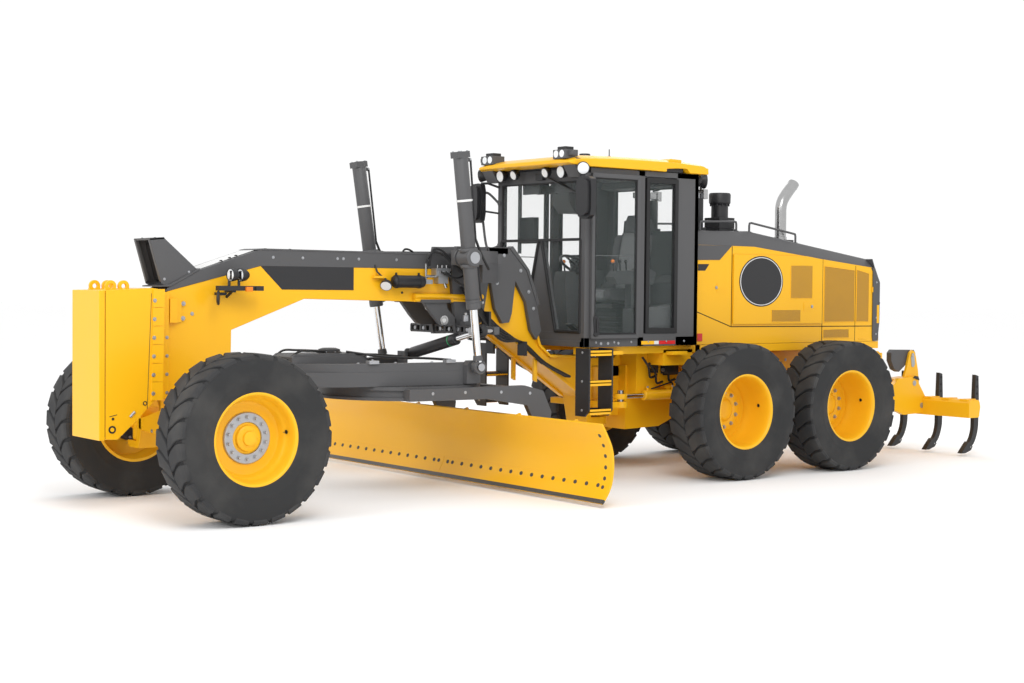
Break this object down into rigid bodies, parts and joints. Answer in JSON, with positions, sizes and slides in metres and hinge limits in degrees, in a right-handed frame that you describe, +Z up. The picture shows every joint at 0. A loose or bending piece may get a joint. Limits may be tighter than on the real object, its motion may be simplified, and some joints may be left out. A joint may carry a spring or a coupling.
{
  "type": "motor grader",
  "caption": "Road grader with articulated frame, long curved blade under a turning circle, glazed cab, engine hood, tandem rear wheels and a rear ripper.",
  "frame": {"origin": "middle of the length and width at rest, on the ground under the tyres. The blade is shifted to the right, so the machine's centre line is at y = 0.406", "axes": "+X forward, +Y to the machine's left, +Z up"},
  "size_m": [10.268, 4.877, 3.13],
  "materials": {
    "yellow_paint": "gloss",
    "rim_paint": "gloss",
    "grey_paint": "satin",
    "black_paint": "satin",
    "tyre": "matte",
    "chrome": "polished",
    "polished_steel": "polished",
    "iron": "rough",
    "glass": "clear",
    "seat_fabric": "woven"
  },
  "bodies": {
    "rear_frame": {"rear_frame": "yellow_paint", "tandem_axle": "yellow_paint", "engine_block": "iron", "engine_hood": "yellow_paint", "exhaust_stack": "polished_steel", "air_intake": "black_paint", "cab_frame": "grey_paint", "cab_roof": "yellow_paint", "windshield": "glass", "rear_window": "glass", "side_window_left": "glass", "side_window_right": "glass", "operator_seat": "seat_fabric", "ladder_left": "black_paint", "ladder_right": "black_paint", "ripper_mount": "yellow_paint", "articulation_cylinder_left": "yellow_paint", "articulation_cylinder_right": "yellow_paint"},
    "front_frame": {"front_frame": "yellow_paint", "push_block": "yellow_paint", "nose_cover": "grey_paint", "front_axle": "iron", "saddle": "grey_paint"},
    "articulation_rod_left": {"articulation_rod_left": "chrome"},
    "articulation_rod_right": {"articulation_rod_right": "chrome"},
    "knuckle_left": {"steering_knuckle_left": "iron"},
    "knuckle_right": {"steering_knuckle_right": "iron"},
    "lift_barrel_left": {"lift_cylinder_left": "grey_paint"},
    "lift_barrel_right": {"lift_cylinder_right": "grey_paint"},
    "lift_rod_left": {"lift_rod_left": "chrome"},
    "lift_rod_right": {"lift_rod_right": "chrome"},
    "drawbar": {"drawbar": "grey_paint"},
    "centre_shift_barrel": {"centre_shift_cylinder": "black_paint"},
    "centre_shift_rod": {"centre_shift_rod": "chrome"},
    "circle": {"circle": "grey_paint"},
    "blade_carrier": {"blade_carrier": "grey_paint", "side_shift_cylinder": "black_paint"},
    "moldboard": {"moldboard": "yellow_paint"},
    "cab_door_left": {"cab_door_left": "grey_paint", "door_glass_left": "glass"},
    "cab_door_right": {"cab_door_right": "grey_paint", "door_glass_right": "glass"},
    "hood_door_left": {"hood_door_left": "yellow_paint"},
    "hood_door_right": {"hood_door_right": "yellow_paint"},
    "ripper": {"ripper_beam": "yellow_paint"},
    "ripper_barrel": {"ripper_cylinder": "black_paint"},
    "ripper_rod": {"ripper_rod": "chrome"},
    "wheel_front_left": {"rim_front_left": "rim_paint", "tyre_front_left": "tyre"},
    "wheel_front_right": {"rim_front_right": "rim_paint", "tyre_front_right": "tyre"},
    "wheel_mid_left": {"rim_mid_left": "rim_paint", "tyre_mid_left": "tyre"},
    "wheel_mid_right": {"rim_mid_right": "rim_paint", "tyre_mid_right": "tyre"},
    "wheel_rear_left": {"rim_rear_left": "rim_paint", "tyre_rear_left": "tyre"},
    "wheel_rear_right": {"rim_rear_right": "rim_paint", "tyre_rear_right": "tyre"}
  },
  "joints": [
    {"name": "articulation", "type": "hinge", "parent": "rear_frame", "child": "front_frame", "pos_m": [-0.219, 0.406, 0.8], "axis": [0, 0, 1], "range_deg": [-20, 20]},
    {"name": "articulation_ram_left", "type": "slide", "parent": "rear_frame", "child": "articulation_rod_left", "axis": [1, 0, 0], "range_m": [-0.15, 0.15]},
    {"name": "articulation_ram_right", "type": "slide", "parent": "rear_frame", "child": "articulation_rod_right", "axis": [1, 0, 0], "range_m": [-0.15, 0.15]},
    {"name": "steer_left", "type": "hinge", "parent": "front_frame", "child": "knuckle_left", "pos_m": [4.281, 1.206, 0.66923], "axis": [0, 0, 1], "range_deg": [-40, 40]},
    {"name": "steer_right", "type": "hinge", "parent": "front_frame", "child": "knuckle_right", "pos_m": [4.281, -0.394, 0.66923], "axis": [0, 0, 1], "range_deg": [-40, 40]},
    {"name": "spin_front_left", "type": "hinge", "parent": "knuckle_left", "child": "wheel_front_left", "pos_m": [4.281, 1.4895, 0.66923], "axis": [0, 1, 0], "continuous": true},
    {"name": "spin_front_right", "type": "hinge", "parent": "knuckle_right", "child": "wheel_front_right", "pos_m": [4.281, -0.6775, 0.66923], "axis": [0, 1, 0], "continuous": true},
    {"name": "spin_mid_left", "type": "hinge", "parent": "rear_frame", "child": "wheel_mid_left", "pos_m": [-1.109, 1.4895, 0.66923], "axis": [0, 1, 0], "continuous": true},
    {"name": "spin_mid_right", "type": "hinge", "parent": "rear_frame", "child": "wheel_mid_right", "pos_m": [-1.109, -0.6775, 0.66923], "axis": [0, 1, 0], "continuous": true},
    {"name": "spin_rear_left", "type": "hinge", "parent": "rear_frame", "child": "wheel_rear_left", "pos_m": [-2.649, 1.4895, 0.66923], "axis": [0, 1, 0], "continuous": true},
    {"name": "spin_rear_right", "type": "hinge", "parent": "rear_frame", "child": "wheel_rear_right", "pos_m": [-2.649, -0.6775, 0.66923], "axis": [0, 1, 0], "continuous": true},
    {"name": "blade_lift", "type": "hinge", "parent": "front_frame", "child": "drawbar", "pos_m": [3.811, 0.406, 1.04], "axis": [0, 1, 0], "range_deg": [-4, 5]},
    {"name": "lift_swing_left", "type": "hinge", "parent": "front_frame", "child": "lift_barrel_left", "pos_m": [1.896, 1.176, 2.12], "axis": [0, 1, 0], "range_deg": [-1, 1]},
    {"name": "lift_stroke_left", "type": "slide", "parent": "lift_barrel_left", "child": "lift_rod_left", "axis": [0.1177, 0, 0.993], "range_m": [-0.16, 0.2]},
    {"name": "lift_swing_right", "type": "hinge", "parent": "front_frame", "child": "lift_barrel_right", "pos_m": [1.896, -0.424, 2.12], "axis": [0, 1, 0], "range_deg": [-1, 1]},
    {"name": "lift_stroke_right", "type": "slide", "parent": "lift_barrel_right", "child": "lift_rod_right", "axis": [0.1175, -0.0613, 0.9912], "range_m": [-0.16, 0.2]},
    {"name": "centre_shift_swing", "type": "hinge", "parent": "drawbar", "child": "centre_shift_barrel", "pos_m": [1.701, -0.034, 1.22], "axis": [1, 0, 0], "range_deg": [-10, 8]},
    {"name": "centre_shift_stroke", "type": "slide", "parent": "centre_shift_barrel", "child": "centre_shift_rod", "axis": [0, 0.9768, 0.2142], "range_m": [-0.045, 0.035]},
    {"name": "circle_turn", "type": "hinge", "parent": "drawbar", "child": "circle", "pos_m": [2.131, 0.406, 0.99], "axis": [0, 0, -1], "range_deg": [-25, 25]},
    {"name": "blade_pitch", "type": "hinge", "parent": "circle", "child": "blade_carrier", "pos_m": [1.081, 0.406, 0.3], "axis": [0, 1, 0], "range_deg": [-5, 20]},
    {"name": "blade_side_shift", "type": "slide", "parent": "blade_carrier", "child": "moldboard", "axis": [0, 1, 0], "range_m": [-0.1, 0.8]},
    {"name": "cab_door_left", "type": "hinge", "parent": "rear_frame", "child": "cab_door_left", "pos_m": [-0.189, 1.1215, 2.165], "axis": [0, 0, 1], "range_deg": [0, 75]},
    {"name": "cab_door_right", "type": "hinge", "parent": "rear_frame", "child": "cab_door_right", "pos_m": [-0.189, -0.3095, 2.165], "axis": [0, 0, -1], "range_deg": [0, 75]},
    {"name": "hood_door_left", "type": "hinge", "parent": "rear_frame", "child": "hood_door_left", "pos_m": [-1.569, 1.0225, 1.86], "axis": [0, 0, -1], "range_deg": [0, 80]},
    {"name": "hood_door_right", "type": "hinge", "parent": "rear_frame", "child": "hood_door_right", "pos_m": [-1.569, -0.2105, 1.86], "axis": [0, 0, 1], "range_deg": [0, 80]},
    {"name": "ripper_lift", "type": "hinge", "parent": "rear_frame", "child": "ripper", "pos_m": [-4.239, 0.406, 0.62], "axis": [0, 1, 0], "range_deg": [0, 20]},
    {"name": "ripper_swing", "type": "hinge", "parent": "rear_frame", "child": "ripper_barrel", "pos_m": [-4.229, 0.406, 1.075], "axis": [0, 1, 0], "range_deg": [0, 13]},
    {"name": "ripper_stroke", "type": "slide", "parent": "ripper_barrel", "child": "ripper_rod", "axis": [0.8163, 0, 0.5776], "range_m": [0, 0.14]}
  ],
  "couplings": [
    {"joint": "articulation_ram_left", "follows": "articulation", "m_per_rad": -0.4115},
    {"joint": "articulation_ram_right", "follows": "articulation", "m_per_rad": 0.4115},
    {"joint": "steer_right", "follows": "steer_left", "ratio": 1},
    {"joint": "lift_swing_left", "follows": "blade_lift", "ratio": 0.1059},
    {"joint": "lift_stroke_left", "follows": "blade_lift", "m_per_rad": 2.0293},
    {"joint": "lift_swing_right", "follows": "blade_lift", "ratio": 0.1059},
    {"joint": "lift_stroke_right", "follows": "blade_lift", "m_per_rad": 2.0293},
    {"joint": "centre_shift_swing", "follows": "blade_lift", "ratio": -1.78},
    {"joint": "centre_shift_stroke", "follows": "blade_lift", "m_per_rad": -0.4015},
    {"joint": "ripper_swing", "follows": "ripper_lift", "ratio": 0.598},
    {"joint": "ripper_stroke", "follows": "ripper_lift", "m_per_rad": 0.3853}
  ]
}
